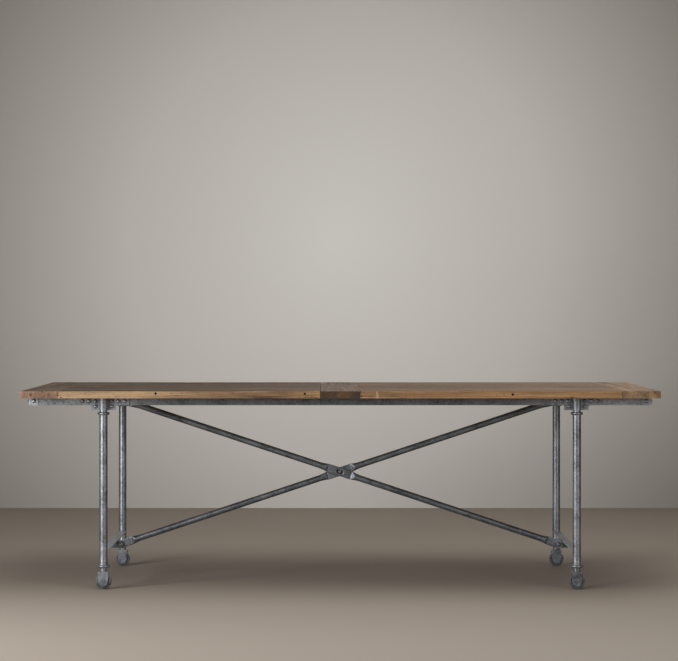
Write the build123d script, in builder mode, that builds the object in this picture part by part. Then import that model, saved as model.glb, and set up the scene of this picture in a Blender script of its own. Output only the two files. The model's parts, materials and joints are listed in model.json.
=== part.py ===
"""Long plank-topped work table on an X-braced iron base with four casters.

The frame has +X along the table's length, +Y towards its back and +Z up.
Its origin is on the floor, under the middle of the top. All sizes are millimetres.
"""

import os
from math import atan2, hypot, tan

from build123d import *

# ---- Driving dimensions --------------------------------------------------------------------------

# Table top
top_length = 2438.0
top_depth = 1016.0
table_height = 768.0
board_thickness = 28.0
end_board_width = 146.0
centre_board_width = 152.0
planks_per_bay = 6
board_gap = 0.5
board_ease = 1.2
tongue_thickness = 8.0
tongue_length = 9.0
tenon_length = 14.0
tenon_shoulder = 18.0
joint_clearance = 0.2

# Angle-iron frame under the top
rail_end_inset = 20.0
rail_height = 32.0
rail_flange = 32.0
rail_thickness = 4.0
rail_corner_radius = 2.0
rail_end_chamfer = 0.5

# Legs
leg_inset_x = 307.0
leg_inset_y = 121.0
leg_radius = 16.0
leg_wall = 4.0
upper_neck_step = 1.5
upper_neck_length = 68.5
lower_neck_step = 2.5
lower_neck_length = 25.3
flare_growth = 1.3
flare_height = 36.0
leg_plug_height = 70.0

# Collars on the legs
upper_collar_rim = 7.5
upper_collar_height = 11.0
lower_collar_rim = 9.5
lower_collar_height = 10.5
collar_rounding = 0.45
collar_clearance = 0.1

# Leg brackets
neck_gap = 0.2
strap_thickness = 2.3
bracket_width = 196.0
bracket_thickness = 4.0
tab_width = 93.0
tab_drop = 18.5
tab_fillet = 8.0
seam_width = 1.6
seam_depth = 0.8
seam_drop = 1.6
backing_thickness = 4.0
backing_top_gap = 1.0

# Corner clips
clip_width = 37.5
clip_thickness = 3.0
clip_corner_radius = 2.5
clip_rivet_inset = 20.0

# Rivets
rivet_head_radius = 8.2
rivet_head_height = 5.6
rivet_shank_radius = 3.5
rivet_tail_radius = 6.0
rivet_tail_height = 2.5
rivet_clearance = 0.2
rivet_offsets = (31.5, 57.0, 82.0)
lower_rivet_drop = 4.5

# Screws from the frame up into the boards
screw_shank_radius = 2.4
screw_head_radius = 4.6
screw_head_height = 2.8
screw_bite = 18.0
screw_clearance = 0.3
pilot_clearance = 0.1
pilot_spare_depth = 1.0
screws_per_bay = 3
end_rail_screw_pitch = 250.0

# Stretchers between the front and the back legs
stretcher_top = 146.3
stretcher_width = 30.0
stretcher_thickness = 5.0
cope_gap = 0.05
cope_height = 15.0

# X brace
brace_radius = 12.5
brace_wall = 3.0
brace_round_flat = 0.2
brace_flat_width = 34.0
brace_flat_thickness = 8.0
brace_flat_edge = 3.6
brace_end_inset = 30.0
brace_end_drop = 14.3
brace_top_drop = 24.0
centre_flat_trim = 5.0
flat_to_round = 26.0
end_flat_reach = 42.0
recess_length = 27.0
recess_width = 14.0
recess_depth = 3.0

# Lugs that carry the ends of the braces
lug_thickness = 6.0
lug_radius = 14.6

# Brace bolts
bolt_radius = 5.0
bolt_clearance = 0.2
bolt_head_radius = 9.5
bolt_head_height = 5.0
dome_shoulder_reach = 0.7
dome_shoulder_rise = 0.72
nut_across_corners = 19.6
nut_height = 7.0
bolt_tail = 2.0
crossing_head_radius = 6.3
crossing_head_height = 2.4

# Casters
wheel_radius = 30.0
wheel_width = 21.0
wheel_edge_radius = 3.0
hub_radius = 11.0
hub_gap = 0.3
web_thickness = 11.0
rim_inner_radius = 22.0
axle_radius = 5.0
axle_tail = 1.2
axle_chamfer = 0.8
running_clearance = 0.05
fork_gap = 24.0
fork_plate = 4.5
fork_top_half_width = 20.5
fork_axle_half_width = 19.25
fork_crown_half_width = 14.0
fork_crown_thickness = 6.2
fork_shoulder_drop = 6.0
fork_shoulder_reach = 0.72
fork_shoulder_fall = 0.28
fork_wheel_clearance = 2.5
fork_edge_radius = 1.5
stem_radius = 8.0
stem_length = 44.0
stem_end_gap = 2.0
swivel_gap = 0.3

# ---- Places worked out from them -----------------------------------------------------------------

underside = table_height - board_thickness
board_middle = underside + board_thickness / 2
half_length = top_length / 2
half_depth = top_depth / 2
bay_inner = centre_board_width / 2
bay_outer = half_length - end_board_width
bay_length = bay_outer - bay_inner
plank_width = top_depth / planks_per_bay

leg_x = half_length - leg_inset_x
leg_y = half_depth - leg_inset_y
fork_slot_top = wheel_radius * 2 + fork_wheel_clearance
fork_top = fork_slot_top + fork_crown_thickness
fork_half_depth = fork_gap / 2 + fork_plate
leg_bottom = fork_top + swivel_gap
lower_shoulder = leg_bottom + lower_neck_length
upper_shoulder = underside - upper_neck_length
upper_neck_radius = leg_radius - upper_neck_step
lower_neck_radius = leg_radius - lower_neck_step
flare_radius = leg_radius + flare_growth

rail_end_x = half_length - rail_end_inset
rail_face_y = leg_y - upper_neck_radius - neck_gap
rail_back_y = rail_face_y - rail_thickness
rail_edge_y = rail_face_y - rail_flange
rail_bottom = underside - rail_height
flange_bottom = underside - rail_thickness
backing_back_y = rail_back_y - backing_thickness
cross_rail_x = leg_x + rail_flange / 2

tab_bottom = rail_bottom - tab_drop
strap_radius = upper_neck_radius + neck_gap + strap_thickness
rivet_z = underside - rail_height / 2
lower_rivet_z = rail_bottom - lower_rivet_drop
rivet_hole_radius = rivet_shank_radius + rivet_clearance

stretcher_bottom = stretcher_top - stretcher_thickness
brace_end_x = leg_x - brace_end_inset
brace_low_z = stretcher_top - brace_end_drop
brace_high_z = underside - brace_top_drop
brace_middle_z = (brace_low_z + brace_high_z) / 2
brace_half_length = hypot(brace_end_x, brace_high_z - brace_middle_z)
brace_angle = atan2(brace_high_z - brace_middle_z, brace_end_x)
bolt_hole_radius = bolt_radius + bolt_clearance

# The two flats lie on each other as far as this along each brace; past it they can grow round.
centre_flat_half = brace_flat_width / 2 / tan(brace_angle) - centre_flat_trim

corners = {
    "front_left": (-1, -1),
    "front_right": (1, -1),
    "back_left": (-1, 1),
    "back_right": (1, 1),
}
ends = {"left": -1, "right": 1}
fronts = {"front": -1, "back": 1}


# ---- Shared helpers ------------------------------------------------------------------------------


def block(x_range, y_range, z_range, mode=Mode.ADD):
    """Add or cut a box given by its limits along X, Y and Z."""
    spans = [sorted(limits) for limits in (x_range, y_range, z_range)]
    middle = tuple((low + high) / 2 for low, high in spans)
    size = tuple(high - low for low, high in spans)
    with Locations(middle):
        Box(*size, mode=mode)


def side_plane(x, y, z, side):
    """A plane that faces out of the front (side -1) or the back (side 1), with its y axis up."""
    return Plane(origin=(x, y, z), x_dir=(-side, 0, 0), z_dir=(0, side, 0))


def end_plane(x, y, z, end):
    """A plane that faces out of the left (end -1) or the right (end 1) end of the table."""
    return Plane(origin=(x, y, z), x_dir=(0, end, 0), z_dir=(end, 0, 0))


def up_plane(x, y, z):
    """A level plane whose normal points up."""
    return Plane(origin=(x, y, z), x_dir=(1, 0, 0), z_dir=(0, 0, 1))


def front_plane(x, y):
    """An upright plane through a leg, drawn in X and Z."""
    return Plane(origin=(x, y, 0), x_dir=(1, 0, 0), z_dir=(0, -1, 0))


def save(piece, name):
    """Label a finished piece and write it as one STEP file."""
    piece.label = name
    export_step(piece, f"parts/{name}.step")


os.makedirs("parts", exist_ok=True)

# ---- Screw places, shared by the boards and the frame --------------------------------------------

plank_middles = [-half_depth + plank_width * (index + 0.5) for index in range(planks_per_bay)]
cross_screw_x = cross_rail_x - (rail_flange + rail_thickness) / 2
rail_screw_y = rail_face_y - (rail_flange + rail_thickness) / 2
end_screw_x = rail_end_x - (rail_flange + rail_thickness) / 2
bay_screw_end = leg_x - bracket_width / 2
bay_screw_step = (bay_screw_end - bay_inner) / screws_per_bay
bay_screw_xs = [bay_inner + bay_screw_step * (index + 0.5) for index in range(screws_per_bay)]
rail_screw_xs = [0.0]
for end in ends.values():
    rail_screw_xs.append(end * (half_length - end_board_width / 2))
    rail_screw_xs.extend(end * x for x in bay_screw_xs)

rail_screws = {side: [(x, side * rail_screw_y) for x in rail_screw_xs] for side in fronts.values()}
cross_screws = {
    end: [(end * cross_screw_x, y) for y in plank_middles if abs(y) < rail_edge_y - screw_head_radius]
    for end in ends.values()
}
end_screws = {
    end: [(end * end_screw_x, step * end_rail_screw_pitch) for step in (-1, 0, 1)]
    for end in ends.values()
}
screw_points = []
for places in (*rail_screws.values(), *cross_screws.values(), *end_screws.values()):
    screw_points.extend(places)


def pilot_holes(x_range, y_range):
    """Drill the pilot holes of the screws that enter a board with these limits."""
    low_x, high_x = sorted(x_range)
    low_y, high_y = sorted(y_range)
    hits = [(x, y) for x, y in screw_points if low_x < x < high_x and low_y < y < high_y]
    if hits:
        depth = screw_bite + pilot_spare_depth
        with Locations(*[(x, y, underside + depth / 2) for x, y in hits]):
            Cylinder(screw_shank_radius + pilot_clearance, depth, mode=Mode.SUBTRACT)


def ease_top_edges(piece):
    """Break the long top edges of a board, as wear and hand planing do."""
    top_edges = piece.faces().sort_by(Axis.Z)[-1].edges()
    chamfer(top_edges, board_ease)


# ---- Lengthwise planks, tongued into each other and into the cross boards ------------------------

half_tongue = tongue_thickness / 2
for end_name, end in ends.items():
    for index in range(planks_per_bay):
        low_y = -half_depth + plank_width * index
        high_y = low_y + plank_width
        first = index == 0
        last = index == planks_per_bay - 1
        near_y = low_y if first else low_y + board_gap / 2
        far_y = high_y if last else high_y - board_gap / 2
        x_range = (end * (bay_inner + board_gap), end * (bay_outer - board_gap))
        tenon_x = (end * (bay_inner - tenon_length), end * (bay_outer + tenon_length))
        with BuildPart() as plank:
            block(x_range, (near_y, far_y), (underside, table_height))
            ease_top_edges(plank)
            block(
                tenon_x,
                (near_y + tenon_shoulder, far_y - tenon_shoulder),
                (board_middle - half_tongue, board_middle + half_tongue),
            )
            if not last:
                block(
                    x_range,
                    (far_y, far_y + tongue_length),
                    (board_middle - half_tongue, board_middle + half_tongue),
                )
            if not first:
                groove = half_tongue + joint_clearance
                block(
                    x_range,
                    (near_y, near_y + tongue_length + joint_clearance),
                    (board_middle - groove, board_middle + groove),
                    mode=Mode.SUBTRACT,
                )
            pilot_holes(x_range, (near_y, far_y))
        save(plank.part, f"{end_name}_plank_{index + 1}")

# ---- Cross boards, mortised for the planks' tenons -----------------------------------------------


def mortises(board_edge_x, direction):
    """Cut one mortise per plank into the edge of a cross board."""
    for y in plank_middles:
        half_width = plank_width / 2 - tenon_shoulder + joint_clearance
        half_slot = half_tongue + joint_clearance
        block(
            (board_edge_x, board_edge_x + direction * (tenon_length + joint_clearance)),
            (y - half_width, y + half_width),
            (board_middle - half_slot, board_middle + half_slot),
            mode=Mode.SUBTRACT,
        )


cross_boards = {
    "left_end_board": (-half_length, -bay_outer),
    "centre_board": (-bay_inner, bay_inner),
    "right_end_board": (bay_outer, half_length),
}
for board_name, (low_x, high_x) in cross_boards.items():
    with BuildPart() as cross_board:
        block((low_x, high_x), (-half_depth, half_depth), (underside, table_height))
        ease_top_edges(cross_board)
        if board_name != "left_end_board":
            mortises(low_x, 1)
        if board_name != "right_end_board":
            mortises(high_x, -1)
        pilot_holes((low_x, high_x), (-half_depth, half_depth))
    save(cross_board.part, board_name)

# ---- Places of the rivets ------------------------------------------------------------------------

bracket_face_y = rail_face_y + bracket_thickness
clip_face_y = rail_face_y + clip_thickness
clip_face_x = rail_end_x + clip_thickness
clip_rivet_x = clip_face_x - clip_rivet_inset
clip_rivet_y = clip_face_y - clip_rivet_inset


def upper_rivet_planes(side_x, side, offsets, face_y):
    """Planes at the upper rivets of one bracket, on the given face."""
    return [
        side_plane(side_x * leg_x + sign * offset, side * face_y, rivet_z, side)
        for offset in offsets
        for sign in (-1, 1)
    ]


def lower_rivet_planes(side_x, side, face_y):
    """Planes at the two rivets in the tab of one bracket, on the given face."""
    return [
        side_plane(side_x * leg_x + sign * rivet_offsets[0], side * face_y, lower_rivet_z, side)
        for sign in (-1, 1)
    ]


def drill(planes, radius, depth):
    """Drill one hole per plane, into the material behind it."""
    with Locations(*planes):
        Hole(radius, depth=depth)


# ---- Angle-iron rails ----------------------------------------------------------------------------

screw_hole_radius = screw_shank_radius + screw_clearance
for side_name, side in fronts.items():
    with BuildPart() as long_rail:
        length = (-rail_end_x, rail_end_x)
        block(length, (side * rail_back_y, side * rail_face_y), (rail_bottom, underside))
        block(length, (side * rail_edge_y, side * rail_face_y), (flange_bottom, underside))
        outer_edge = long_rail.edges().filter_by(Axis.X).group_by(Axis.Z)[0]
        chamfer(outer_edge, rail_end_chamfer)
        for end in ends.values():
            drill(
                upper_rivet_planes(end, side, rivet_offsets, rail_face_y),
                rivet_hole_radius,
                rail_thickness,
            )
            drill(
                [side_plane(end * clip_rivet_x, side * rail_face_y, rivet_z, side)],
                rivet_hole_radius,
                rail_thickness,
            )
        drill([up_plane(x, y, underside) for x, y in rail_screws[side]], screw_hole_radius, rail_thickness)
    save(long_rail.part, f"{side_name}_rail")

for end_name, end in ends.items():
    with BuildPart() as end_rail:
        block(
            (end * (rail_end_x - rail_thickness), end * rail_end_x),
            (-rail_back_y, rail_back_y),
            (rail_bottom, flange_bottom),
        )
        block(
            (end * (rail_end_x - rail_flange), end * rail_end_x),
            (-rail_edge_y, rail_edge_y),
            (flange_bottom, underside),
        )
        drill(
            [end_plane(end * rail_end_x, side * clip_rivet_y, rivet_z, end) for side in fronts.values()],
            rivet_hole_radius,
            rail_thickness,
        )
        drill([up_plane(x, y, underside) for x, y in end_screws[end]], screw_hole_radius, rail_thickness)
    save(end_rail.part, f"{end_name}_end_rail")

    with BuildPart() as cross_rail:
        block(
            (end * (cross_rail_x - rail_thickness), end * cross_rail_x),
            (-backing_back_y, backing_back_y),
            (rail_bottom, flange_bottom),
        )
        block(
            (end * (cross_rail_x - rail_flange), end * cross_rail_x),
            (-rail_edge_y, rail_edge_y),
            (flange_bottom, underside),
        )
        drill([up_plane(x, y, underside) for x, y in cross_screws[end]], screw_hole_radius, rail_thickness)
    save(cross_rail.part, f"{end_name}_cross_rail")

# ---- Pieces at each corner: clip, bracket and leg ------------------------------------------------

# Which edge of a cut rests on the rail's face, so that the cut lies on the rail's side of it.
rail_side_align = {-1: (Align.CENTER, Align.MIN), 1: (Align.CENTER, Align.MAX)}

for corner, (end, side) in corners.items():
    with BuildPart() as clip:
        block(
            (end * (clip_face_x - clip_width), end * clip_face_x),
            (side * rail_face_y, side * clip_face_y),
            (rail_bottom, underside),
        )
        block(
            (end * rail_end_x, end * clip_face_x),
            (side * (clip_face_y - clip_width), side * clip_face_y),
            (rail_bottom, underside),
        )
        upright_edges = clip.edges().filter_by(Axis.Z)
        corner_edge = upright_edges.sort_by(lambda edge: end * edge.center().X + side * edge.center().Y)[-1]
        fillet(corner_edge, clip_corner_radius)
        drill(
            [
                side_plane(end * clip_rivet_x, side * clip_face_y, rivet_z, side),
                end_plane(end * clip_face_x, side * clip_rivet_y, rivet_z, end),
            ],
            rivet_hole_radius,
            clip_thickness,
        )
    save(clip.part, f"{corner}_corner_clip")

    with BuildPart() as bracket:
        with BuildSketch(side_plane(end * leg_x, side * rail_face_y, 0, side)):
            with Locations((0, (rail_bottom + underside) / 2)):
                Rectangle(bracket_width, rail_height)
            with BuildLine():
                half_tab = tab_width / 2
                Polyline(
                    (-half_tab - tab_fillet, rail_bottom),
                    (-half_tab, rail_bottom - tab_fillet),
                    (-half_tab, tab_bottom),
                    (half_tab, tab_bottom),
                    (half_tab, rail_bottom - tab_fillet),
                    (half_tab + tab_fillet, rail_bottom),
                    close=True,
                )
            make_face()
            with Locations(*[(sign * (half_tab + tab_fillet), rail_bottom - tab_fillet) for sign in (-1, 1)]):
                Circle(tab_fillet, mode=Mode.SUBTRACT)
        extrude(amount=bracket_thickness)
        strap_reach = leg_y - rail_face_y
        with BuildSketch(up_plane(end * leg_x, side * leg_y, tab_bottom)):
            Circle(strap_radius)
            with Locations((0, -side * strap_reach / 2)):
                Rectangle(strap_radius * 2, strap_reach)
            with Locations((0, -side * strap_reach)):
                Rectangle(strap_radius * 2, strap_radius, align=rail_side_align[side], mode=Mode.SUBTRACT)
        extrude(amount=underside - tab_bottom)
        with BuildSketch(up_plane(end * leg_x, side * leg_y, tab_bottom)):
            socket_radius = upper_neck_radius + neck_gap
            Circle(socket_radius)
            with Locations((0, -side * strap_reach / 2)):
                Rectangle(socket_radius * 2, strap_reach)
        extrude(amount=underside - tab_bottom, mode=Mode.SUBTRACT)
        with BuildSketch(up_plane(end * leg_x, side * leg_y, rail_bottom - seam_drop)):
            Circle(strap_radius * 2)
            Circle(strap_radius - seam_depth, mode=Mode.SUBTRACT)
            with Locations((0, -side * strap_radius * 2)):
                Rectangle(strap_radius * 4, strap_radius * 4, mode=Mode.SUBTRACT)
        extrude(amount=seam_width, mode=Mode.SUBTRACT)
        rivets_here = upper_rivet_planes(end, side, rivet_offsets, bracket_face_y)
        rivets_here += lower_rivet_planes(end, side, bracket_face_y)
        drill(rivets_here, rivet_hole_radius, bracket_thickness)
    save(bracket.part, f"{corner}_bracket")

    with BuildPart() as leg:
        leg_axis = Axis((end * leg_x, side * leg_y, 0), (0, 0, 1))
        with BuildSketch(front_plane(end * leg_x, side * leg_y)):
            with BuildLine():
                Polyline(
                    (0, underside),
                    (0, leg_bottom),
                    (lower_neck_radius, leg_bottom),
                    (lower_neck_radius, lower_shoulder),
                    (flare_radius, lower_shoulder),
                )
                Spline(
                    (flare_radius, lower_shoulder),
                    (leg_radius, lower_shoulder + flare_height),
                    tangents=((0, 1), (0, 1)),
                )
                Polyline(
                    (leg_radius, lower_shoulder + flare_height),
                    (leg_radius, upper_shoulder),
                    (upper_neck_radius, upper_shoulder),
                    (upper_neck_radius, underside),
                    (0, underside),
                )
            make_face()
        revolve(axis=leg_axis)
        with BuildSketch(up_plane(end * leg_x, side * leg_y, leg_bottom + leg_plug_height)):
            Circle(upper_neck_radius - leg_wall)
        extrude(amount=underside - leg_bottom - leg_plug_height, mode=Mode.SUBTRACT)
        with BuildSketch(up_plane(end * leg_x, side * leg_y, leg_bottom)):
            Circle(stem_radius + running_clearance)
        extrude(amount=stem_length + stem_end_gap, mode=Mode.SUBTRACT)
    save(leg.part, f"{corner}_leg")

# ---- Plates behind the brackets ------------------------------------------------------------------

with BuildPart() as backing_plates:
    for end, side in corners.values():
        plate_x = (end * leg_x - tab_width / 2, end * leg_x + tab_width / 2)
        block(
            plate_x,
            (side * backing_back_y, side * rail_back_y),
            (tab_bottom, flange_bottom - backing_top_gap),
        )
        block(
            plate_x,
            (side * rail_back_y, side * rail_face_y),
            (tab_bottom, rail_bottom),
        )
    for end, side in corners.values():
        plate_rivets = upper_rivet_planes(end, side, rivet_offsets[:1], rail_face_y)
        plate_rivets += lower_rivet_planes(end, side, rail_face_y)
        drill(plate_rivets, rivet_hole_radius, rail_thickness + backing_thickness)
save(backing_plates.part, "bracket_backing_plates")

# ---- Collars -------------------------------------------------------------------------------------


def leg_collar(radius, height, bore_radius):
    """A turned ring with a well-rounded rim, standing on the origin."""
    with BuildPart() as collar:
        with BuildSketch():
            Circle(radius)
            Circle(bore_radius, mode=Mode.SUBTRACT)
        extrude(amount=height)
        rim_edges = collar.edges().filter_by(GeomType.CIRCLE).sort_by(SortBy.RADIUS)[-2:]
        fillet(rim_edges, height * collar_rounding)
    return collar.part


leg_places = [(end * leg_x, side * leg_y) for end, side in corners.values()]
upper_collar = leg_collar(
    leg_radius + upper_collar_rim,
    upper_collar_height,
    upper_neck_radius + collar_clearance,
)
with BuildPart() as upper_collars:
    with Locations(*[(x, y, upper_shoulder) for x, y in leg_places]):
        add(upper_collar)
save(upper_collars.part, "upper_leg_collars")

lower_collar = leg_collar(
    leg_radius + lower_collar_rim,
    lower_collar_height,
    lower_neck_radius + collar_clearance,
)
with BuildPart() as lower_collars:
    with Locations(*[(x, y, lower_shoulder - lower_collar_height) for x, y in leg_places]):
        add(lower_collar)
save(lower_collars.part, "lower_leg_collars")

# ---- Stretchers ----------------------------------------------------------------------------------

for end_name, end in ends.items():
    with BuildPart() as stretcher:
        half_width = stretcher_width / 2
        block(
            (end * leg_x - half_width, end * leg_x + half_width),
            (-leg_y, leg_y),
            (stretcher_bottom, stretcher_top),
        )
        with Locations(*[(end * leg_x, side * leg_y, stretcher_bottom) for side in fronts.values()]):
            Cylinder(leg_radius + cope_gap, cope_height, mode=Mode.SUBTRACT)
    save(stretcher.part, f"{end_name}_stretcher")

# ---- X brace -------------------------------------------------------------------------------------

# The front brace runs from the upper left to the lower right. The rear brace is the same piece
# turned half a turn about the table's upright axis, so the flats meet in the plane Y = 0.
brace_direction = Vector(brace_end_x, 0, brace_low_z - brace_middle_z).normalized()
brace_y = -brace_flat_thickness / 2


def brace_plane(distance):
    """A plane across the front brace, this far along it from the crossing."""
    middle = Vector(0, brace_y, brace_middle_z)
    return Plane(origin=middle + brace_direction * distance, x_dir=(0, 1, 0), z_dir=brace_direction)


brace_face = Plane(
    origin=(0, -brace_flat_thickness, brace_middle_z),
    x_dir=brace_direction,
    z_dir=(0, -1, 0),
)
round_size = brace_radius * 2
round_corner = brace_radius - brace_round_flat / 2
first_round = centre_flat_half + flat_to_round
last_flat = brace_half_length - end_flat_reach
last_round = last_flat - flat_to_round

with BuildPart() as half_brace:
    with BuildSketch(brace_plane(0)):
        RectangleRounded(brace_flat_thickness, brace_flat_width, brace_flat_edge)
    extrude(amount=centre_flat_half)
    with BuildSketch(brace_plane(centre_flat_half)):
        RectangleRounded(brace_flat_thickness, brace_flat_width, brace_flat_edge)
    with BuildSketch(brace_plane(first_round)):
        RectangleRounded(round_size, round_size, round_corner)
    loft()
    with BuildSketch(brace_plane(first_round)):
        RectangleRounded(round_size, round_size, round_corner)
    extrude(amount=last_round - first_round)
    with BuildSketch(brace_plane(last_round)):
        RectangleRounded(round_size, round_size, round_corner)
    with BuildSketch(brace_plane(last_flat)):
        RectangleRounded(brace_flat_thickness, brace_flat_width, brace_flat_edge)
    loft()
    with BuildSketch(brace_plane(last_flat)):
        RectangleRounded(brace_flat_thickness, brace_flat_width, brace_flat_edge)
    extrude(amount=end_flat_reach)
    with BuildSketch(brace_face):
        with Locations((brace_half_length, 0)):
            Circle(brace_flat_width / 2)
    extrude(amount=-brace_flat_thickness)
    with BuildSketch(brace_plane(first_round)):
        Circle(brace_radius - brace_wall)
    extrude(amount=last_round - first_round, mode=Mode.SUBTRACT)
    with BuildSketch(brace_face):
        with Locations((brace_half_length, 0)):
            Circle(bolt_hole_radius)
    extrude(amount=-brace_flat_thickness, mode=Mode.SUBTRACT)

with BuildPart() as front_brace:
    add(half_brace.part)
    mirror(half_brace.part, about=brace_plane(0))
    with BuildSketch(brace_face):
        SlotOverall(recess_length, recess_width)
    extrude(amount=-recess_depth, mode=Mode.SUBTRACT)
    with BuildSketch(brace_face):
        Circle(bolt_hole_radius)
    extrude(amount=-brace_flat_thickness, mode=Mode.SUBTRACT)
save(front_brace.part, "front_brace")

with BuildPart() as rear_brace:
    add(front_brace.part.rotate(Axis.Z, 180))
save(rear_brace.part, "rear_brace")

# ---- Lugs for the ends of the braces -------------------------------------------------------------

# A lug touches the inner face of its brace: behind the front brace and in front of the rear one.
low_lug_sides = {-1: -1, 1: 1}
cross_rail_inner = cross_rail_x - rail_thickness
with BuildPart() as brace_lugs:
    for end, lug_side in low_lug_sides.items():
        low_y = (0, lug_side * lug_thickness)
        high_y = (0, -lug_side * lug_thickness)
        outer_x = end * (leg_x + stretcher_width / 2)
        inner_x = end * (leg_x - stretcher_width / 2)
        low_bottom = brace_low_z - lug_radius
        block((end * brace_end_x, outer_x), low_y, (low_bottom, stretcher_bottom))
        block((end * brace_end_x, inner_x), low_y, (low_bottom, brace_low_z + lug_radius))
        high_bottom = brace_high_z - lug_radius
        flange_inner = end * (cross_rail_x - rail_flange)
        block((end * brace_end_x, end * cross_rail_inner), high_y, (high_bottom, brace_high_z + lug_radius))
        block((flange_inner, end * cross_rail_inner), high_y, (high_bottom, flange_bottom))
        for lug_z, (near, far) in ((brace_low_z, low_y), (brace_high_z, high_y)):
            with BuildSketch(side_plane(end * brace_end_x, near, lug_z, -1)):
                Circle(lug_radius)
            extrude(amount=near - far)
            with BuildSketch(side_plane(end * brace_end_x, near, lug_z, -1)):
                Circle(bolt_hole_radius)
            extrude(amount=near - far, mode=Mode.SUBTRACT)
save(brace_lugs.part, "brace_lugs")

# ---- Brace bolts and nuts ------------------------------------------------------------------------

clamp_length = brace_flat_thickness + lug_thickness
with BuildPart() as end_bolt:
    with BuildSketch(Plane.XZ):
        with BuildLine():
            bolt_end = clamp_length + nut_height + bolt_tail
            Polyline(
                (bolt_head_radius, 0),
                (bolt_radius, 0),
                (bolt_radius, -bolt_end),
                (0, -bolt_end),
                (0, bolt_head_height),
            )
            ThreePointArc(
                (0, bolt_head_height),
                (bolt_head_radius * dome_shoulder_reach, bolt_head_height * dome_shoulder_rise),
                (bolt_head_radius, 0),
            )
        make_face()
    revolve(axis=Axis.Z)

with BuildPart() as end_nut:
    with BuildSketch():
        RegularPolygon(nut_across_corners / 2, 6)
        Circle(bolt_hole_radius, mode=Mode.SUBTRACT)
    extrude(amount=nut_height)

# Each bolt: its X, its height and the Y of the face under its head.
bolt_seats = []
for end, lug_side in low_lug_sides.items():
    low_face = -brace_flat_thickness if lug_side > 0 else -lug_thickness
    high_face = -lug_thickness if lug_side > 0 else -brace_flat_thickness
    bolt_seats.append((end * brace_end_x, brace_low_z, low_face))
    bolt_seats.append((end * brace_end_x, brace_high_z, high_face))

with BuildPart() as end_bolts:
    with Locations(*[side_plane(x, face_y, z, -1) for x, z, face_y in bolt_seats]):
        add(end_bolt.part)
save(end_bolts.part, "brace_end_bolts")

with BuildPart() as end_nuts:
    with Locations(*[side_plane(x, face_y + clamp_length, z, 1) for x, z, face_y in bolt_seats]):
        add(end_nut.part)
save(end_nuts.part, "brace_end_nuts")

recess_floor = brace_flat_thickness - recess_depth
crossing_front = side_plane(0, -recess_floor, brace_middle_z, -1)
crossing_back = side_plane(0, recess_floor, brace_middle_z, 1)
with BuildPart() as crossing_bolt:
    with BuildSketch(crossing_front):
        Circle(crossing_head_radius)
    extrude(amount=crossing_head_height)
    fillet(crossing_bolt.faces().sort_by(Axis.Y)[0].edges(), crossing_head_height / 2)
    with BuildSketch(crossing_front):
        Circle(bolt_radius)
    extrude(amount=-(recess_floor * 2 + crossing_head_height))
save(crossing_bolt.part, "crossing_bolt")

with BuildPart() as crossing_nut:
    with BuildSketch(crossing_back):
        Circle(crossing_head_radius)
        Circle(bolt_radius + running_clearance, mode=Mode.SUBTRACT)
    extrude(amount=crossing_head_height)
save(crossing_nut.part, "crossing_nut")

# ---- Rivets --------------------------------------------------------------------------------------


def domed_rivet(grip):
    """A rivet whose dome stands on the origin's plane and whose shank goes through the grip below."""
    with BuildPart() as rivet:
        with BuildSketch(Plane.XZ):
            with BuildLine():
                tail_end = -grip - rivet_tail_height
                Polyline(
                    (rivet_head_radius, 0),
                    (rivet_shank_radius, 0),
                    (rivet_shank_radius, -grip),
                    (rivet_tail_radius, -grip),
                    (rivet_tail_radius, tail_end),
                    (0, tail_end),
                    (0, rivet_head_height),
                )
                ThreePointArc(
                    (0, rivet_head_height),
                    (rivet_head_radius * dome_shoulder_reach, rivet_head_height * dome_shoulder_rise),
                    (rivet_head_radius, 0),
                )
            make_face()
        revolve(axis=Axis.Z)
    return rivet.part


short_grip = bracket_thickness + rail_thickness
long_grip = short_grip + backing_thickness
short_planes = []
long_planes = []
for end, side in corners.values():
    short_planes += upper_rivet_planes(end, side, rivet_offsets[1:], bracket_face_y)
    long_planes += upper_rivet_planes(end, side, rivet_offsets[:1], bracket_face_y)
    long_planes += lower_rivet_planes(end, side, bracket_face_y)
short_rivet = domed_rivet(short_grip)
long_rivet = domed_rivet(long_grip)
with BuildPart() as bracket_rivets:
    with Locations(*short_planes):
        add(short_rivet)
    with Locations(*long_planes):
        add(long_rivet)
save(bracket_rivets.part, "bracket_rivets")

clip_planes = []
for end, side in corners.values():
    clip_planes.append(side_plane(end * clip_rivet_x, side * clip_face_y, rivet_z, side))
    clip_planes.append(end_plane(end * clip_face_x, side * clip_rivet_y, rivet_z, end))
clip_rivet = domed_rivet(clip_thickness + rail_thickness)
with BuildPart() as corner_rivets:
    with Locations(*clip_planes):
        add(clip_rivet)
save(corner_rivets.part, "corner_rivets")

# ---- Screws --------------------------------------------------------------------------------------

with BuildPart() as screw:
    with BuildSketch():
        Circle(screw_head_radius)
    extrude(amount=-screw_head_height)
    fillet(screw.faces().sort_by(Axis.Z)[0].edges(), screw_head_height / 2)
    with BuildSketch():
        Circle(screw_shank_radius)
    extrude(amount=rail_thickness + screw_bite)

with BuildPart() as board_screws:
    with Locations(*[(x, y, flange_bottom) for x, y in screw_points]):
        add(screw.part)
save(board_screws.part, "board_screws")

# ---- Casters -------------------------------------------------------------------------------------

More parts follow.
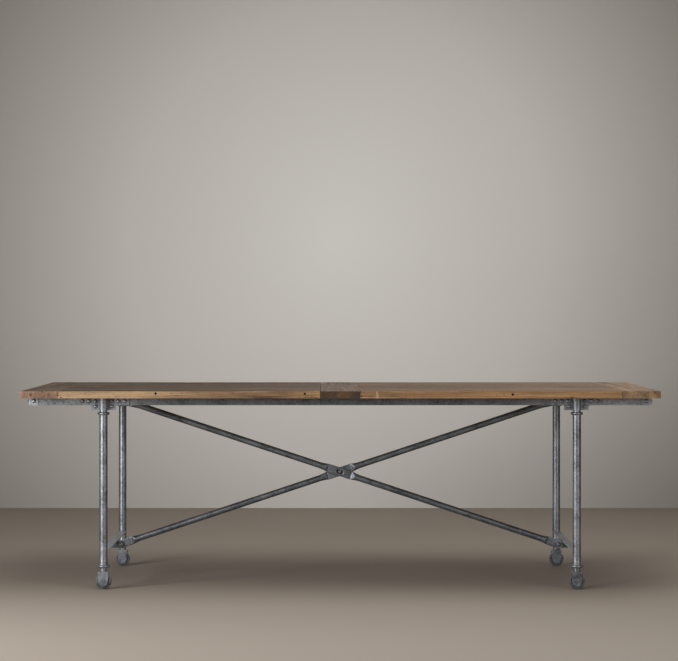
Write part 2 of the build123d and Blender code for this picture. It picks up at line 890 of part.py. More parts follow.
hub_half = fork_gap / 2 - hub_gap
rim_half = wheel_width / 2
web_half = web_thickness / 2
for corner, (end, side) in corners.items():
    caster_x = end * leg_x
    caster_y = side * leg_y
    with BuildPart() as fork:
        with BuildSketch(front_plane(caster_x, caster_y)):
            with BuildLine():
                shoulder_z = fork_top - fork_shoulder_drop
                fork_arc_x = fork_crown_half_width + (fork_top_half_width - fork_crown_half_width) * fork_shoulder_reach
                fork_arc_z = fork_top - fork_shoulder_drop * fork_shoulder_fall
                Line((-fork_crown_half_width, fork_top), (fork_crown_half_width, fork_top))
                ThreePointArc(
                    (fork_crown_half_width, fork_top),
                    (fork_arc_x, fork_arc_z),
                    (fork_top_half_width, shoulder_z),
                )
                Line((fork_top_half_width, shoulder_z), (fork_axle_half_width, wheel_radius))
                ThreePointArc(
                    (fork_axle_half_width, wheel_radius),
                    (0, wheel_radius - fork_axle_half_width),
                    (-fork_axle_half_width, wheel_radius),
                )
                Line((-fork_axle_half_width, wheel_radius), (-fork_top_half_width, shoulder_z))
                ThreePointArc(
                    (-fork_top_half_width, shoulder_z),
                    (-fork_arc_x, fork_arc_z),
                    (-fork_crown_half_width, fork_top),
                )
            make_face()
        extrude(amount=fork_half_depth, both=True)
        outer_faces = fork.faces().filter_by(Plane.XZ)
        fillet(outer_faces.edges(), fork_edge_radius)
        block(
            (caster_x - fork_top_half_width * 2, caster_x + fork_top_half_width * 2),
            (caster_y - fork_gap / 2, caster_y + fork_gap / 2),
            (0, fork_slot_top),
            mode=Mode.SUBTRACT,
        )
        with BuildSketch(up_plane(caster_x, caster_y, fork_top)):
            Circle(stem_radius)
        extrude(amount=stem_length)
        with BuildSketch(side_plane(caster_x, caster_y, wheel_radius, -1)):
            Circle(axle_radius + running_clearance)
        extrude(amount=fork_half_depth, both=True, mode=Mode.SUBTRACT)
    save(fork.part, f"{corner}_fork")

    with BuildPart() as axle:
        with BuildSketch(side_plane(caster_x, caster_y, wheel_radius, -1)):
            Circle(axle_radius)
        extrude(amount=fork_half_depth + axle_tail, both=True)
        chamfer(axle.edges().filter_by(GeomType.CIRCLE), axle_chamfer)
    save(axle.part, f"{corner}_axle")

    with BuildPart() as wheel:
        bore_radius = axle_radius + running_clearance
        with BuildSketch(up_plane(caster_x, caster_y, wheel_radius)):
            with BuildLine():
                Polyline(
                    (bore_radius, -hub_half),
                    (hub_radius, -hub_half),
                    (hub_radius, -web_half),
                    (rim_inner_radius, -web_half),
                    (rim_inner_radius, -rim_half),
                    (wheel_radius, -rim_half),
                    (wheel_radius, rim_half),
                    (rim_inner_radius, rim_half),
                    (rim_inner_radius, web_half),
                    (hub_radius, web_half),
                    (hub_radius, hub_half),
                    (bore_radius, hub_half),
                    close=True,
                )
            make_face()
        revolve(axis=Axis((caster_x, caster_y, wheel_radius), (0, 1, 0)))
        tread_edges = wheel.edges().filter_by(GeomType.CIRCLE).group_by(SortBy.RADIUS)[-1]
        fillet(tread_edges, wheel_edge_radius)
    save(wheel.part, f"{corner}_wheel")
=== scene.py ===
import json
import math

import bpy
import numpy as np
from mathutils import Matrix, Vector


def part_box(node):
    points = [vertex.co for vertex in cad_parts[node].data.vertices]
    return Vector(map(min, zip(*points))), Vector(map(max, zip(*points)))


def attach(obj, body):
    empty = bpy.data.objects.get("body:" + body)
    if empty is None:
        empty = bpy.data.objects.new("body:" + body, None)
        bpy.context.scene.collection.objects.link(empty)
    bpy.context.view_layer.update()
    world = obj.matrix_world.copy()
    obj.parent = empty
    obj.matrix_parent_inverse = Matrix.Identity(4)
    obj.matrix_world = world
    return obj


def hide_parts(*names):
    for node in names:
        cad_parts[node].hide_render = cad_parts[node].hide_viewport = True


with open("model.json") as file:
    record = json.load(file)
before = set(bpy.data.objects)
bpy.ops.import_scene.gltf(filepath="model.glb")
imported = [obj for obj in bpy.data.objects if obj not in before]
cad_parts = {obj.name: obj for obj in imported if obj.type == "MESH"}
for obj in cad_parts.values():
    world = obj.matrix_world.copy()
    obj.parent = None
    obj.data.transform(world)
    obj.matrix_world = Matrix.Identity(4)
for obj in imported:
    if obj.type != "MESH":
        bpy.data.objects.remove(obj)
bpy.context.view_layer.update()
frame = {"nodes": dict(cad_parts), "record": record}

MM = 0.001
scene = bpy.context.scene
scene.view_settings.view_transform = "Standard"


# ---------------------------------------------------------------- camera, lights and stage

EYE_HEIGHT = 1.081
EYE_DISTANCE = 8.834
LENS = 116.4
SENSOR = 36.0
EYE_X = -0.03
SHIFT_X = 0.0098
SHIFT_Y = -0.0323

view = bpy.data.cameras.new("camera")
view.lens = LENS
view.sensor_width = SENSOR
view.shift_x = SHIFT_X
view.shift_y = SHIFT_Y
camera = bpy.data.objects.new("camera", view)
camera.location = (EYE_X, -EYE_DISTANCE, EYE_HEIGHT)
camera.rotation_euler = (math.pi / 2, 0.0, 0.0)
scene.collection.objects.link(camera)
scene.camera = camera

# The display curve, from display values to linear ones.
CURVE_START = 0.04045
CURVE_FOOT_SLOPE = 12.92
CURVE_LIFT = 0.055
CURVE_POWER = 2.4


def tone(red, green, blue):
    """A colour given as 0 to 255 display values, in the linear values that a shader takes."""
    linear = []
    for value in (red, green, blue):
        share = value / 255
        if share < CURVE_START:
            linear.append(share / CURVE_FOOT_SLOPE)
        else:
            linear.append(((share + CURVE_LIFT) / (1 + CURVE_LIFT)) ** CURVE_POWER)
    return tuple(linear) + (1.0,)


def soft_light(name, place, target, size, power, colour):
    """A rectangular lamp at place that faces target and isn't seen itself."""
    lamp = bpy.data.lights.new(name, "AREA")
    lamp.shape = "RECTANGLE"
    lamp.size, lamp.size_y = size
    lamp.energy = power
    lamp.color = colour
    holder = bpy.data.objects.new(name, lamp)
    holder.location = place
    aim = holder.location.copy()
    aim.x, aim.y, aim.z = (target[i] - place[i] for i in range(3))
    holder.rotation_euler = aim.to_track_quat("-Z", "Y").to_euler()
    holder.visible_camera = False
    scene.collection.objects.link(holder)


WHITE_LIGHT = (1.0, 1.0, 1.0)
WARM_LIGHT = (1.0, 0.99, 0.97)
soft_light("left_softbox", (-3.0, -2.1, 1.15), (-0.2, -0.3, 0.5), (0.6, 1.9), 42.0, WHITE_LIGHT)
soft_light("front_left_softbox", (-4.3, -6.0, 1.7), (-0.3, -0.4, 0.6), (1.5, 1.6), 150.0, WARM_LIGHT)
soft_light("front_right_softbox", (4.3, -6.0, 1.7), (0.3, -0.4, 0.6), (1.5, 1.6), 88.0, WARM_LIGHT)
soft_light("overhead_softbox", (0.5, -0.6, 3.4), (0.1, -0.2, 0.0), (4.2, 1.6), 62.0, WARM_LIGHT)

# The room lights the table less than its walls look, as dark studios do.
ROOM_SEEN = 0.52
ROOM_LIGHT = 0.17
world = bpy.data.worlds.new("room")
scene.world = world
world.use_nodes = True
room = world.node_tree.nodes["Background"]
room.inputs["Color"].default_value = tone(190, 188, 184)
room_path = world.node_tree.nodes.new("ShaderNodeLightPath")
room_level = world.node_tree.nodes.new("ShaderNodeMapRange")
room_level.inputs["To Min"].default_value = ROOM_LIGHT
room_level.inputs["To Max"].default_value = ROOM_SEEN
world.node_tree.links.new(room_path.outputs["Is Camera Ray"], room_level.inputs["Value"])
world.node_tree.links.new(room_level.outputs[0], room.inputs["Strength"])


# ---------------------------------------------------------------- node graphs

class Graph:
    """One material's node tree. Its calls take sockets or plain numbers and return sockets."""

    def __init__(self, name):
        self.material = bpy.data.materials.new(name)
        self.material.use_nodes = True
        self.tree = self.material.node_tree
        self.shader = self.tree.nodes["Principled BSDF"]

    def feed(self, socket, value):
        if isinstance(value, bpy.types.NodeSocket):
            self.tree.links.new(value, socket)
        elif value is not None:
            socket.default_value = value

    def shade(self, **values):
        """Sets the shader's inputs, named with underscores for spaces."""
        for name, value in values.items():
            self.feed(self.shader.inputs[name.replace("_", " ")], value)

    def math(self, operation, *values):
        node = self.tree.nodes.new("ShaderNodeMath")
        node.operation = operation
        for socket, value in zip(node.inputs, values):
            self.feed(socket, value)
        return node.outputs[0]

    def add(self, *values):
        """The sum of all values, from left to right."""
        total = values[0]
        for value in values[1:]:
            total = self.math("ADD", total, value)
        return total

    def minus(self, first, second):
        return self.math("SUBTRACT", first, second)

    def times(self, first, second):
        return self.math("MULTIPLY", first, second)

    def vector(self, operation, *values):
        node = self.tree.nodes.new("ShaderNodeVectorMath")
        node.operation = operation
        for socket, value in zip(node.inputs, values):
            self.feed(socket, value)
        return node.outputs["Value" if operation in ("LENGTH", "DOT_PRODUCT", "DISTANCE") else "Vector"]

    def place(self):
        """The point's place on the object, in metres."""
        return self.tree.nodes.new("ShaderNodeTexCoord").outputs["Object"]

    def facing(self):
        """Which way the surface faces."""
        return self.split(self.tree.nodes.new("ShaderNodeNewGeometry").outputs["Normal"])

    def split(self, value):
        node = self.tree.nodes.new("ShaderNodeSeparateXYZ")
        self.feed(node.inputs[0], value)
        return node.outputs

    def join(self, *values):
        node = self.tree.nodes.new("ShaderNodeCombineXYZ")
        for socket, value in zip(node.inputs, values):
            self.feed(socket, value)
        return node.outputs[0]

    def noise(self, at, stretch, detail=2.0, rough=0.5, output="Fac"):
        """Smooth noise around 0.5. stretch is how many features there are to the metre, along each axis."""
        node = self.tree.nodes.new("ShaderNodeTexNoise")
        self.feed(node.inputs["Vector"], self.vector("MULTIPLY", at, stretch))
        node.inputs["Scale"].default_value = 1.0
        node.inputs["Detail"].default_value = detail
        node.inputs["Roughness"].default_value = rough
        return node.outputs[output]

    def swing(self, at, stretch):
        """A smooth random vector around zero."""
        return self.vector("SUBTRACT", self.noise(at, stretch, output="Color"), (0.5, 0.5, 0.5))

    def cells(self, at, stretch):
        """The distance to the nearest of many scattered points."""
        node = self.tree.nodes.new("ShaderNodeTexVoronoi")
        self.feed(node.inputs["Vector"], self.vector("MULTIPLY", at, stretch))
        node.inputs["Scale"].default_value = 1.0
        return node.outputs["Distance"]

    def ease(self, value, low, high, start=0.0, end=1.0):
        """start where value is below low, end where it is above high, and smooth between."""
        node = self.tree.nodes.new("ShaderNodeMapRange")
        node.interpolation_type = "SMOOTHSTEP"
        numbers = {"Value": value, "From Min": low, "From Max": high, "To Min": start, "To Max": end}
        for name, number in numbers.items():
            self.feed(node.inputs[name], number)
        return node.outputs[0]

    def blend(self, factor, first, second, mode="MIX"):
        node = self.tree.nodes.new("ShaderNodeMix")
        node.data_type = "RGBA"
        node.blend_type = mode
        self.feed(node.inputs[0], factor)
        self.feed(node.inputs[6], first)
        self.feed(node.inputs[7], second)
        return node.outputs[2]

    def tint(self, colour, factor):
        """The colour multiplied by another colour or by a grey level."""
        return self.blend(1.0, colour, factor, "MULTIPLY")

    def ramp(self, factor, stops):
        node = self.tree.nodes.new("ShaderNodeValToRGB")
        elements = node.color_ramp.elements
        while len(elements) < len(stops):
            elements.new(0.5)
        for element, (place, colour) in zip(elements, stops):
            element.position = place
            element.color = colour
        self.feed(node.inputs[0], factor)
        return node.outputs[0]

    def attribute(self, name):
        node = self.tree.nodes.new("ShaderNodeAttribute")
        node.attribute_name = name
        return node.outputs["Fac"]

    def bump(self, height, strength, distance):
        node = self.tree.nodes.new("ShaderNodeBump")
        node.inputs["Strength"].default_value = strength
        node.inputs["Distance"].default_value = distance
        self.feed(node.inputs["Height"], height)
        self.feed(self.shader.inputs["Normal"], node.outputs[0])


# ---------------------------------------------------------------- stage

STAGE_HALF = 13.0
WALL_Y = 3.05
WALL_HEIGHT = 9.0
FLOOR_NEAR_Y, FLOOR_FAR_Y = -2.3, -0.2
# A pool of light painted on the wall: palest round a point above the table's middle, darker towards the wall's
# edges.
WALL_GLOW_HEIGHT = 1.45
WALL_GLOW_SPREAD = (0.44, 0.0, 0.40)
WALL_PAINTED_LIGHT_TONES = [(0.0, tone(246, 244, 240)), (0.5, tone(224, 221, 216)), (1.0, tone(166, 161, 154))]


def sheet(name, corners, material):
    mesh = bpy.data.meshes.new(name)
    mesh.from_pydata(corners, [], [(0, 1, 2, 3)])
    mesh.materials.append(material)
    piece = bpy.data.objects.new(name, mesh)
    scene.collection.objects.link(piece)
    return piece


def one_sided(paint):
    """Makes a sheet seen and lit from its front only, so that the table shows from behind and below."""
    gate = paint.tree.nodes.new("ShaderNodeMixShader")
    clear = paint.tree.nodes.new("ShaderNodeBsdfTransparent")
    back = paint.tree.nodes.new("ShaderNodeNewGeometry")
    paint.feed(gate.inputs[0], back.outputs["Backfacing"])
    paint.feed(gate.inputs[1], paint.shader.outputs[0])
    paint.feed(gate.inputs[2], clear.outputs[0])
    paint.feed(paint.tree.nodes["Material Output"].inputs["Surface"], gate.outputs[0])


floor_paint = Graph("floor_paint")
# Painted light: the floor gets paler towards the front, as a pool of light in front of the table.
floor_y = floor_paint.split(floor_paint.place())[1]
floor_painted_light = floor_paint.ease(floor_y, FLOOR_NEAR_Y, FLOOR_FAR_Y, 1.0, 0.0)
floor_colour = floor_paint.blend(floor_painted_light, tone(160, 149, 138), tone(192, 181, 169))
floor_paint.shade(Base_Color=floor_colour, Roughness=0.8, Specular_IOR_Level=0.15)
one_sided(floor_paint)
floor_corners = [
    (-STAGE_HALF, -STAGE_HALF, 0.0),
    (STAGE_HALF, -STAGE_HALF, 0.0),
    (STAGE_HALF, STAGE_HALF, 0.0),
    (-STAGE_HALF, STAGE_HALF, 0.0),
]
sheet("floor", floor_corners, floor_paint.material)

wall_paint = Graph("wall_paint")
# The wall's colour is this painted pool of light.
wall_place = wall_paint.vector("SUBTRACT", wall_paint.place(), (0.0, WALL_Y, WALL_GLOW_HEIGHT))
wall_reach = wall_paint.vector("LENGTH", wall_paint.vector("MULTIPLY", wall_place, WALL_GLOW_SPREAD))
wall_colour = wall_paint.ramp(wall_reach, WALL_PAINTED_LIGHT_TONES)
wall_paint.shade(Base_Color=wall_colour, Roughness=0.95, Specular_IOR_Level=0.1)
one_sided(wall_paint)
wall_corners = [
    (-STAGE_HALF, WALL_Y, 0.0),
    (STAGE_HALF, WALL_Y, 0.0),
    (STAGE_HALF, WALL_Y, WALL_HEIGHT),
    (-STAGE_HALF, WALL_Y, WALL_HEIGHT),
]
sheet("wall", wall_corners, wall_paint.material)


# ---------------------------------------------------------------- wood

# How many features the wood's patterns have to the metre: along the grain, across it and through the board.
WANDER_STRETCH = (1.3, 6.0, 6.0)
RIPPLE_STRETCH = (7.0, 34.0, 34.0)
STREAK_STRETCH = (5.0, 150.0, 150.0)
BAND_STRETCH = (1.6, 34.0, 34.0)
FLECK_STRETCH = (70.0, 230.0, 230.0)
FIBRE_STRETCH = (11.0, 900.0, 900.0)
PORE_STRETCH = (26.0, 1500.0, 1500.0)
BLOTCH_STRETCH = (2.0, 7.0, 7.0)
DIRT_STRETCH = (6.0, 26.0, 26.0)
SPLIT_STRETCH = (1.1, 42.0, 42.0)
SPLIT_PATCH_STRETCH = (2.6, 12.0, 12.0)
SAW_STRETCH = (260.0, 9.0, 9.0)
CHALK_STRETCH = (17.0, 58.0, 58.0)
RING_STRETCH = (1.0, 1.0, 90.0)

# How far each board's piece of the patterns lies from the next board's, in metres.
LOT_ALONG, LOT_ACROSS, LOT_DOWN = 3.7, 1.3, 0.7

# How far the growth rings wander and ripple, in metres.
WANDER_REACH = (0.0, 0.075, 0.05)
RIPPLE_REACH = (0.0, 0.007, 0.006)
BAND_BEND = (0.0, 0.05, 0.04)
SAW_BEND = (0.012, 0.0, 0.0)
RING_UNEVEN = 2.6

# A knot: its stretch along the grain, and its swell, core and rim as shares of its size.
KNOT_SHAPE = (0.62, 1.0, 0.8)
KNOT_SWELL_REACH = 4.0
KNOT_SWELL = 1.6
KNOT_CORE = (0.35, 0.62)
KNOT_RIM = (0.55, 0.8)
KNOT_RIM_SHARE = 0.65

# Tints and stains, and how strongly each shows.
EARLY_WOOD = (1.16, 1.15, 1.14, 1.0)
LATE_WOOD = (0.66, 0.60, 0.53, 1.0)
RUBBED_WOOD = (1.25, 1.22, 1.16, 1.0)
FLECK_STAIN, FLECK_SHOWS = tone(46, 36, 29), 0.5
DIRT_STAIN, DIRT_SHOWS = tone(58, 50, 43), 0.42
PORE_STAIN, PORE_SHOWS = tone(52, 40, 30), 0.35
SAW_STAIN, SAW_SHOWS = tone(52, 46, 41), 0.18
SPLIT_STAIN, SPLIT_SHOWS = tone(34, 26, 20), 0.8
KNOT_STAIN, KNOT_SHOWS = tone(62, 42, 30), 0.72
CHALK = tone(190, 172, 160)
RUB_SHOWS = 0.14

# The pale mark across the front edge of one plank, and how it leans, in metres.
SCAR = tone(206, 176, 140)
SCAR_SHOWS = 0.5
SCAR_HALF_WIDTH = (0.0025, 0.0055)
SCAR_LEAN = 0.08

WOOD_BUMP = 0.75
WOOD_RELIEF = 0.0009
WOOD_SPECULAR = 0.22


def wood(name, along, low, high, seed, edge_tones, top_tones_and_painted_light, ring_gap=5.0, pith=(0.03, -0.11), knots=(),
         rough_sawn=0.0, scar=None):
    """Old sawn timber whose grain runs along X or Y between the corners low and high.
    edge_tones and the top's tones are the colours of the fresh edges and of the weathered top from one end of X
    to the other; the top's tones also hold painted light, lighter on the table's right than on its left.
    ring_gap is in millimetres. pith is the rings' middle, (across, up) in metres from the middle of the board's
    top, and each knot is (along, across, up, size) in metres, with its first number a place on the table."""
    g = Graph(name)
    x, y, z = g.split(g.place())
    middle_x, middle_y = (low[0] + high[0]) / 2, (low[1] + high[1]) / 2
    across_middle = middle_y if along == "X" else middle_x
    u, v = (x, y) if along == "X" else (y, x)
    start = g.join(g.add(u, seed * LOT_ALONG), g.minus(v, across_middle), g.minus(z, high[2]))
    lot = g.vector("ADD", start, (0.0, seed * LOT_ACROSS, seed * LOT_DOWN))

    # The growth rings wander slowly along the board, and swing round each knot.
    wander = g.swing(lot, WANDER_STRETCH)
    ripple = g.swing(lot, RIPPLE_STRETCH)
    bent = g.vector("ADD", start, g.vector("MULTIPLY", wander, WANDER_REACH))
    bent = g.vector("ADD", bent, g.vector("MULTIPLY", ripple, RIPPLE_REACH))
    _, bent_v, bent_w = g.split(bent)
    aside = g.math("POWER", g.minus(bent_v, pith[0]), 2.0)
    above = g.math("POWER", g.minus(bent_w, pith[1]), 2.0)
    reach = g.math("SQRT", g.add(aside, above))
    knot_mark = None
    for knot_u, knot_v, knot_w, knot_size in knots:
        gap = g.vector("SUBTRACT", start, (knot_u + seed * LOT_ALONG, knot_v, knot_w))
        away = g.vector("LENGTH", g.vector("MULTIPLY", gap, KNOT_SHAPE))
        swell = g.ease(away, 0.0, knot_size * KNOT_SWELL_REACH, 1.0, 0.0)
        reach = g.add(reach, g.times(swell, knot_size * KNOT_SWELL))
        core = g.ease(away, knot_size * KNOT_CORE[0], knot_size * KNOT_CORE[1], 1.0, 0.0)
        rim = g.minus(g.ease(away, knot_size * KNOT_RIM[0], knot_size * KNOT_RIM[1], 1.0, 0.0), core)
        mark = g.add(core, g.times(rim, KNOT_RIM_SHARE))
        knot_mark = mark if knot_mark is None else g.math("MAXIMUM", knot_mark, mark)
    uneven = g.noise(g.join(0.0, 0.0, reach), RING_STRETCH, 1.0)
    phase = g.add(g.times(reach, 1.0 / (ring_gap * MM)), g.times(uneven, RING_UNEVEN))
    ring = g.math("FRACT", phase)
    late = g.times(g.ease(ring, 0.35, 0.86), g.ease(ring, 0.93, 1.0, 1.0, 0.0))

    # Fibres, pores, splits and blotches.
    streak = g.noise(lot, STREAK_STRETCH, 3.0, 0.62)
    band = g.noise(g.vector("ADD", lot, g.vector("MULTIPLY", wander, BAND_BEND)), BAND_STRETCH)
    fleck = g.ease(g.noise(lot, FLECK_STRETCH, 1.0), 0.66, 0.74)
    fibre = g.noise(lot, FIBRE_STRETCH, 2.0, 0.6)
    pore = g.ease(g.noise(lot, PORE_STRETCH, 1.0), 0.60, 0.70)
    blotch = g.noise(lot, BLOTCH_STRETCH, 4.0, 0.6)
    dirt = g.noise(lot, DIRT_STRETCH, 4.0, 0.65)
    split_field = g.noise(lot, SPLIT_STRETCH)
    split_here = g.ease(g.noise(lot, SPLIT_PATCH_STRETCH, 1.0), 0.56, 0.64)
    split = g.ease(g.math("ABSOLUTE", g.minus(split_field, 0.5)), 0.0, 0.010, 1.0, 0.0)
    split = g.times(split, split_here)
    saw = g.noise(g.vector("ADD", lot, g.vector("MULTIPLY", ripple, SAW_BEND)), SAW_STRETCH, 1.0)
    saw = g.times(g.ease(saw, 0.42, 0.62), g.ease(blotch, 0.42, 0.6, 0.15 + rough_sawn, 0.75 + rough_sawn))

    # The tones change along the table, and their borders follow the grain.
    span = high[0] - low[0]
    share = g.math("DIVIDE", g.minus(x, low[0]), span)
    share = g.add(share, g.times(g.minus(streak, 0.5), 0.35 * min(1.0, 0.3 / span)))
    fresh = g.ramp(share, edge_tones)
    # The weathered top colour, with painted light that is lighter towards the table's right.
    worn = g.ramp(share, top_tones_and_painted_light)
    top = g.ease(g.facing()[2], 0.55, 0.93)
    rubbed = g.attribute("rub")
    top = g.times(top, g.ease(rubbed, 0.35, 0.95, 1.0, 0.82))
    colour = g.blend(top, fresh, worn)

    grain = g.add(g.times(late, 0.58), g.times(g.ease(streak, 0.36, 0.66), 0.42))
    grain = g.times(grain, g.ease(blotch, 0.3, 0.7, 0.65, 1.15))
    colour = g.tint(colour, g.blend(grain, EARLY_WOOD, LATE_WOOD))
    colour = g.tint(colour, g.ease(blotch, 0.3, 0.7, 0.78, 1.20))
    colour = g.tint(colour, g.ease(band, 0.32, 0.68, 0.75, 1.23))
    colour = g.tint(colour, g.ease(streak, 0.32, 0.68, 0.74, 1.23))
    colour = g.tint(colour, g.ease(fibre, 0.25, 0.75, 0.85, 1.13))
    colour = g.blend(g.times(fleck, FLECK_SHOWS), colour, FLECK_STAIN)
    colour = g.blend(g.times(g.ease(dirt, 0.54, 0.74), DIRT_SHOWS), colour, DIRT_STAIN)
    colour = g.blend(g.times(pore, PORE_SHOWS), colour, PORE_STAIN)
    colour = g.blend(g.times(g.times(saw, top), SAW_SHOWS), colour, SAW_STAIN)
    colour = g.blend(g.times(split, SPLIT_SHOWS), colour, SPLIT_STAIN)
    if rough_sawn > 0:
        chalk = g.ease(g.noise(lot, CHALK_STRETCH, 3.0, 0.62), 0.53, 0.68)
        colour = g.blend(g.times(g.times(chalk, top), rough_sawn), colour, CHALK)
    pale = g.times(g.ease(g.add(rubbed, g.times(streak, 0.5)), 0.95, 1.35), RUB_SHOWS)
    colour = g.blend(pale, colour, g.tint(fresh, RUBBED_WOOD))
    if knot_mark is not None:
        colour = g.blend(g.times(knot_mark, KNOT_SHOWS), colour, KNOT_STAIN)
    if scar is not None:
        from_scar = g.math("ABSOLUTE", g.minus(g.add(x, g.times(z, SCAR_LEAN)), scar))
        scarred = g.times(g.ease(from_scar, *SCAR_HALF_WIDTH, SCAR_SHOWS, 0.0), g.minus(1.0, top))
        colour = g.blend(scarred, colour, SCAR)

    height = g.add(g.times(late, 0.22), g.times(streak, 0.5), g.times(fibre, 0.4), g.times(dirt, 0.5))
    height = g.minus(height, g.times(split, 1.1))
    height = g.minus(height, g.times(pore, 0.35))
    height = g.minus(height, g.times(saw, g.times(top, 0.35)))
    g.bump(height, WOOD_BUMP, WOOD_RELIEF)
    gloss = g.add(g.ease(blotch, 0.3, 0.7, 0.56, 0.72), g.times(g.minus(fibre, 0.5), 0.2))
    g.shade(Base_Color=colour, Roughness=gloss, Specular_IOR_Level=WOOD_SPECULAR)
    return g.material


LATTICE = np.random.RandomState(20).rand(4096)
LATTICE_KEYS = (73856093, 19349663, 83492791)
SEED_KEY = 40503


def value_noise(at, seed):
    """Smooth noise from 0 to 1 at each row of at."""
    cell = np.floor(at).astype(np.int64)
    part = at - cell
    part = part * part * (3 - 2 * part)
    total = np.zeros(len(at))
    for corner in np.ndindex(2, 2, 2):
        keys = (cell + corner) * LATTICE_KEYS
        key = keys[:, 0] ^ keys[:, 1] ^ keys[:, 2] ^ seed * SEED_KEY
        share = np.where(np.array(corner), part, 1 - part).prod(1)
        total += LATTICE[key % len(LATTICE)] * share
    return total


def ease(value, low, high):
    share = np.clip((value - low) / (high - low), 0.0, 1.0)
    return share * share * (3 - 2 * share)


RIM = 4.0
RIM_STEPS = np.array((0.0, 0.07, 0.18, 0.34, 0.6, 1.0))


def grid_lines(low, high, step, rim):
    """Places from low to high in even steps, with closer ones in the rim at each end."""
    close = RIM_STEPS * rim
    count = max(2, round((high - low - 2 * rim) / step))
    inner = np.linspace(low + rim, high - rim, count + 1)[1:-1]
    return np.concatenate((low + close, inner, (high - close)[::-1]))


def skin(axes):
    """The points and faces of a box whose sides are divided at the places in axes."""
    shape = tuple(len(a) for a in axes)
    on_skin = np.zeros(shape, bool)
    for axis in range(3):
        for end in (0, shape[axis] - 1):
            take = [slice(None)] * 3
            take[axis] = end
            on_skin[tuple(take)] = True
    index = np.full(shape, -1)
    index[on_skin] = np.arange(on_skin.sum())
    points = np.stack([axes[i][where] for i, where in enumerate(np.nonzero(on_skin))], 1)
    faces = []
    for axis in range(3):
        for end in (0, shape[axis] - 1):
            side = np.take(index, end, axis=axis)
            corners = (side[:-1, :-1], side[1:, :-1], side[1:, 1:], side[:-1, 1:])
            quads = np.stack(corners, -1).reshape(-1, 4)
            faces.append(quads if (end > 0) != (axis == 1) else quads[:, ::-1])
    return points, np.concatenate(faces)


# A board's mesh and wear, in millimetres: grid steps along the grain, across it and up, the arris's radius
# and the dents, with how far apart the changes are.
STEP_ALONG, STEP_ACROSS, STEP_UP = 7.0, 4.0, 3.6
ARRIS_RADIUS, ARRIS_SWELL, ARRIS_CHIP, ARRIS_BREAK = 0.7, 0.9, 1.3, 3.4
SWELL_PITCH, CHIP_PITCH, BREAK_PITCH = 70.0, 21.0, 11.0
GRAIN_PITCH = (110.0, 5.0)
FINE_PITCH = (60.0, 2.6)
GRAIN_DEPTH, FINE_DEPTH, LONG_DEPTH, DENT_DEPTH = 0.30, 0.16, 0.65, 0.75
LONG_STRETCH = (0.4, 0.12, 0.3)
DENT_PITCH = 24.0
RUB_REACH = 7.0
RUB_PITCH = 30.0


def board(name, low, high, along, seed, material, wear=1.0, hollow=0.5):
    """A worn board in the box from low to high, in millimetres, as a new piece."""
    low, high = np.array(low), np.array(high)
    lengthwise = along == "X"
    steps = (STEP_ALONG, STEP_ACROSS, STEP_UP) if lengthwise else (STEP_ACROSS, STEP_ALONG, STEP_UP)
    points, faces = skin([grid_lines(low[i], high[i], steps[i], RIM) for i in range(3)])
    inside = np.sort(np.minimum(points - low, high - points), 1)

    upward = ease(points[:, 2], low[2] + 6.0, high[2] - 6.0)
    radius = ARRIS_RADIUS + ARRIS_SWELL * value_noise(points / SWELL_PITCH, seed)
    radius = radius + ARRIS_CHIP * ease(value_noise(points / CHIP_PITCH, seed + 1), 0.66, 0.95)
    radius += ARRIS_BREAK * ease(value_noise(points / BREAK_PITCH, seed + 2), 0.87, 1.0)
    radius = (radius * wear * (0.45 + 0.55 * upward))[:, None]
    core = np.clip(points, low + radius, high - radius)
    offset = points - core
    normals = offset / np.linalg.norm(offset, axis=1, keepdims=True)
    points = core + normals * radius

    def per_millimetre(pitch):
        """Noise scales from a pitch along the grain and one across it."""
        far, near = 1 / pitch[0], 1 / pitch[1]
        return np.array((far, near, near) if lengthwise else (near, far, near))

    grain, fine = per_millimetre(GRAIN_PITCH), per_millimetre(FINE_PITCH)
    depth = GRAIN_DEPTH * value_noise(points * grain, seed + 3)
    depth = depth + FINE_DEPTH * value_noise(points * fine, seed + 4)
    depth += LONG_DEPTH * value_noise(points * grain * LONG_STRETCH, seed + 5)
    depth += DENT_DEPTH * ease(value_noise(points / DENT_PITCH, seed + 6), 0.80, 1.0)
    across = 1 if lengthwise else 0
    middle, half_width = (low[across] + high[across]) / 2, (high[across] - low[across]) / 2
    spread = (points[:, across] - middle) / half_width
    depth += hollow * spread ** 2 * np.clip(normals[:, 2], 0, 1)
    depth *= np.clip(1.0 + 1.6 * np.minimum(normals[:, 2], 0), 0, 1)
    points -= normals * depth[:, None]

    mesh = bpy.data.meshes.new(name)
    mesh.from_pydata((points * MM).tolist(), [], faces.tolist())
    mesh.polygons.foreach_set("use_smooth", np.ones(len(faces), bool))
    rub = ease(RUB_REACH - inside[:, 1], 0.0, RUB_REACH)
    rub = rub * (0.45 + 0.75 * value_noise(points / RUB_PITCH, seed + 7))
    mesh.attributes.new("rub", "FLOAT", "POINT").data.foreach_set("value", rub.astype(np.float32))
    mesh.materials.append(material)
    piece = bpy.data.objects.new(name, mesh)
    scene.collection.objects.link(piece)
    return piece


# Painted shade: the inside of every carved hole, split and slot is painted near black, as the shade in a deep
# hollow.
hole_shade_paint = Graph("hole_painted_shade")
hole_shade_mottle = hole_shade_paint.noise(hole_shade_paint.place(), (900.0, 900.0, 900.0), 3.0)
hole_shade_colour = hole_shade_paint.ramp(hole_shade_mottle, [(0.35, tone(14, 11, 9)), (0.7, tone(34, 26, 20))])
hole_shade_paint.shade(Base_Color=hole_shade_colour, Roughness=0.9)


